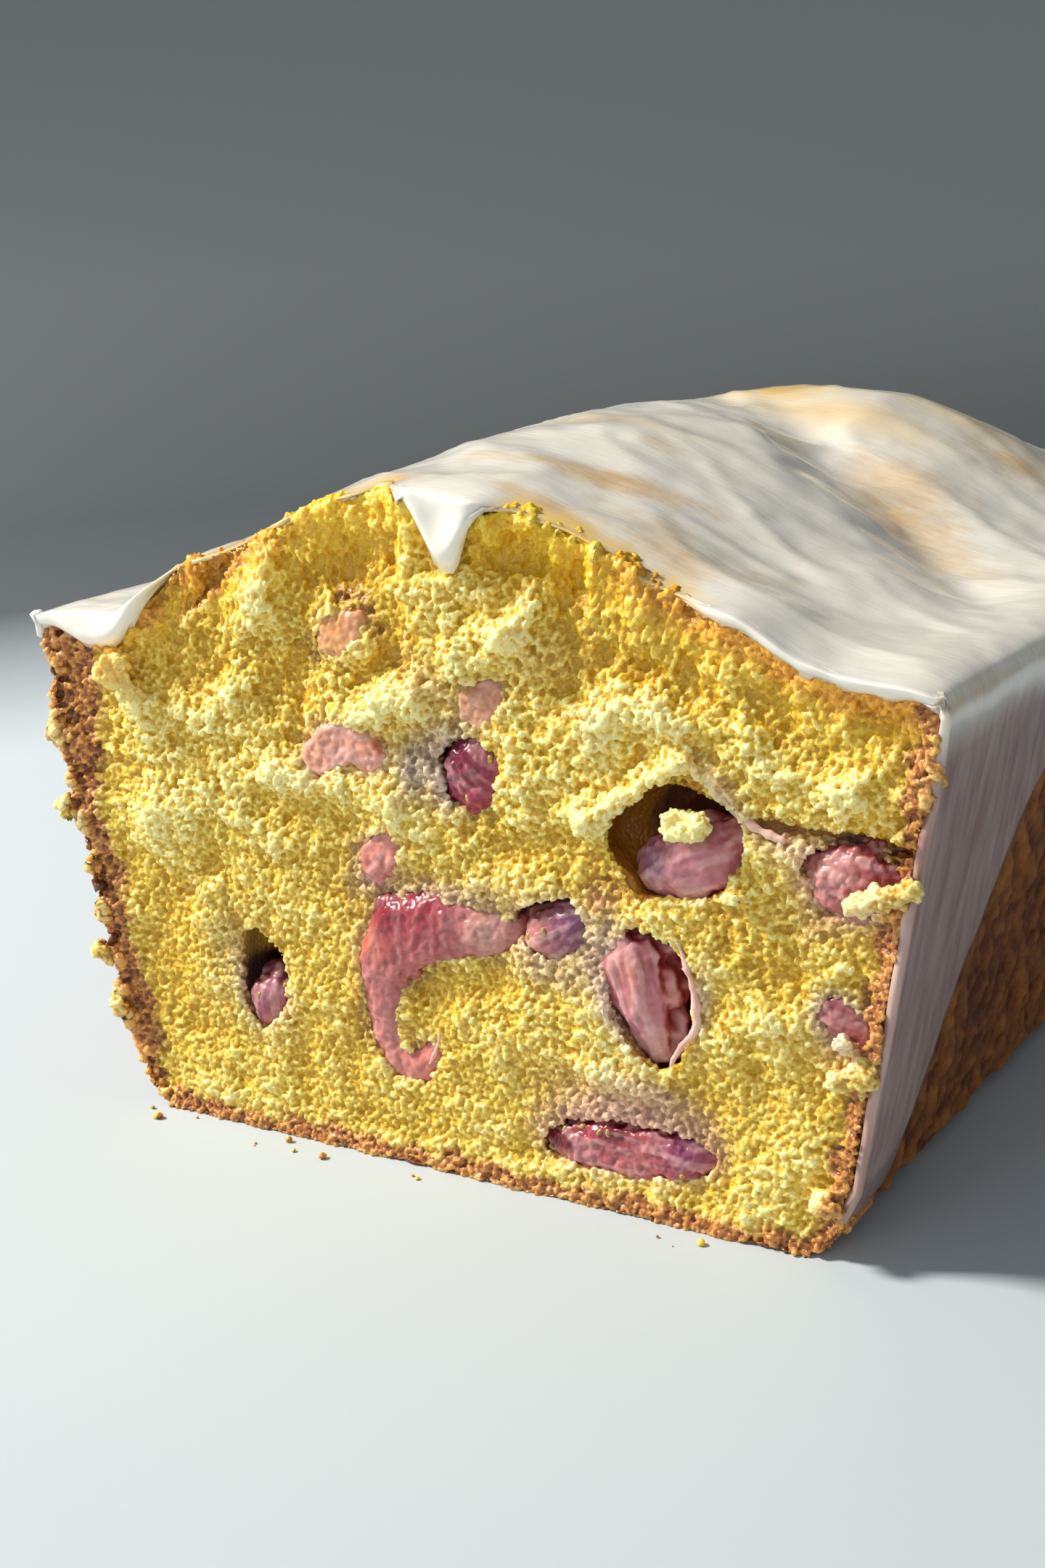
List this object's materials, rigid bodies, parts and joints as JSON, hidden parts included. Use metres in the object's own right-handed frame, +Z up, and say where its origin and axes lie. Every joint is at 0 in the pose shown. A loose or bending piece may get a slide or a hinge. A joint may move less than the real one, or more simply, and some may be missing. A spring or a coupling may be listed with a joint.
{
  "type": "pound cake",
  "caption": "Cut piece of a strawberry pound cake, a domed loaf with tapered walls, pieces of fruit in the crumb of its cut face, and a thin glaze that drips down the sides.",
  "frame": {"origin": "on the plane it rests on, below the middle of its bounding box", "axes": "+Z up, -Y the way the cut face looks, +Y towards the baked end of the loaf, X across the loaf"},
  "size_m": [0.1171, 0.1591, 0.0814],
  "materials": {
    "crumb": "matte open crumb, pale butter yellow, with a browned crust",
    "icing": "satin set glaze, white, thin in places",
    "fruit": "moist baked fruit, pink to dark red"
  },
  "bodies": {
    "root": {"cake": "crumb", "icing": "icing", "fruit_core": "fruit", "fruit_smear": "fruit", "fruit_patch": "fruit", "fruit_arch": "fruit", "fruit_band": "fruit", "fruit_slice": "fruit", "fruit_cone": "fruit", "fruit_base": "fruit", "fruit_left": "fruit", "fruit_side": "fruit", "fruit_edge": "fruit", "fruit_high_left": "fruit", "fruit_high_middle": "fruit"}
  },
  "joints": []
}
